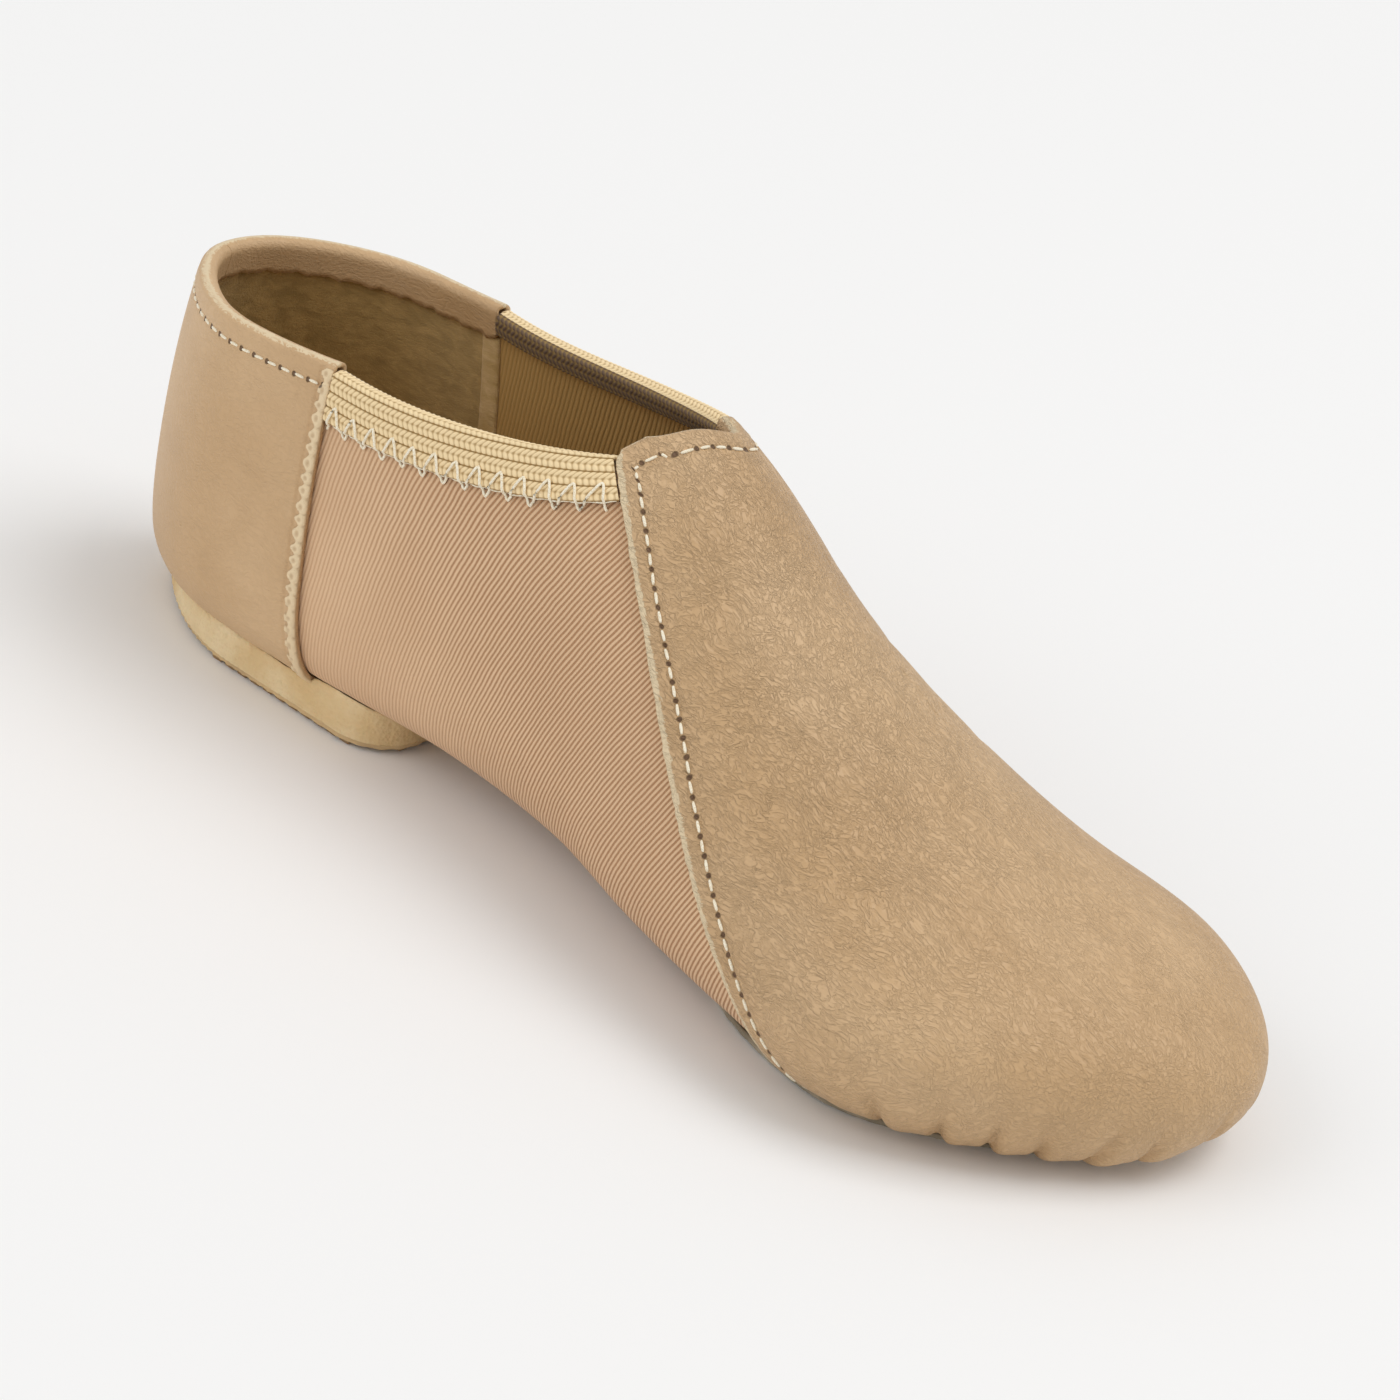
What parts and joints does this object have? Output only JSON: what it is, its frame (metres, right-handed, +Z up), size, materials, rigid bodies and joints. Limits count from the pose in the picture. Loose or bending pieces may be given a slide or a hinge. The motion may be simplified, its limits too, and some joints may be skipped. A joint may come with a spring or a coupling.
{
  "type": "jazz shoe",
  "caption": "Slip-on split-sole jazz shoe for the right foot, leather vamp and heel, stretch gores, suede forefoot patch and low foam heel.",
  "frame": {"origin": "on the floor under the middle of the heel pad, on the flat underside of the tread", "axes": "+X to the toe, +Y to the inner side of the right foot, +Z up"},
  "size_m": [0.2498, 0.0865, 0.0797],
  "materials": {
    "twill": "fine diagonal stretch twill",
    "leather": "soft tan leather, fine pebble grain, semi-matte",
    "elastic": "ribbed knitted elastic",
    "footbed": "brushed nap",
    "suede": "rough split suede",
    "foam": "cut foam rubber, matte",
    "tread": "moulded rubber with a waffle pattern"
  },
  "bodies": {
    "root": {"upper": "twill", "vamp": "leather", "heel_quarter_outer": "leather", "heel_quarter_inner": "leather", "elastic_binding_outer": "elastic", "elastic_binding_inner": "elastic", "insole": "footbed", "forefoot_sole": "suede", "heel_wedge": "foam", "heel_tread": "tread"}
  },
  "joints": []
}
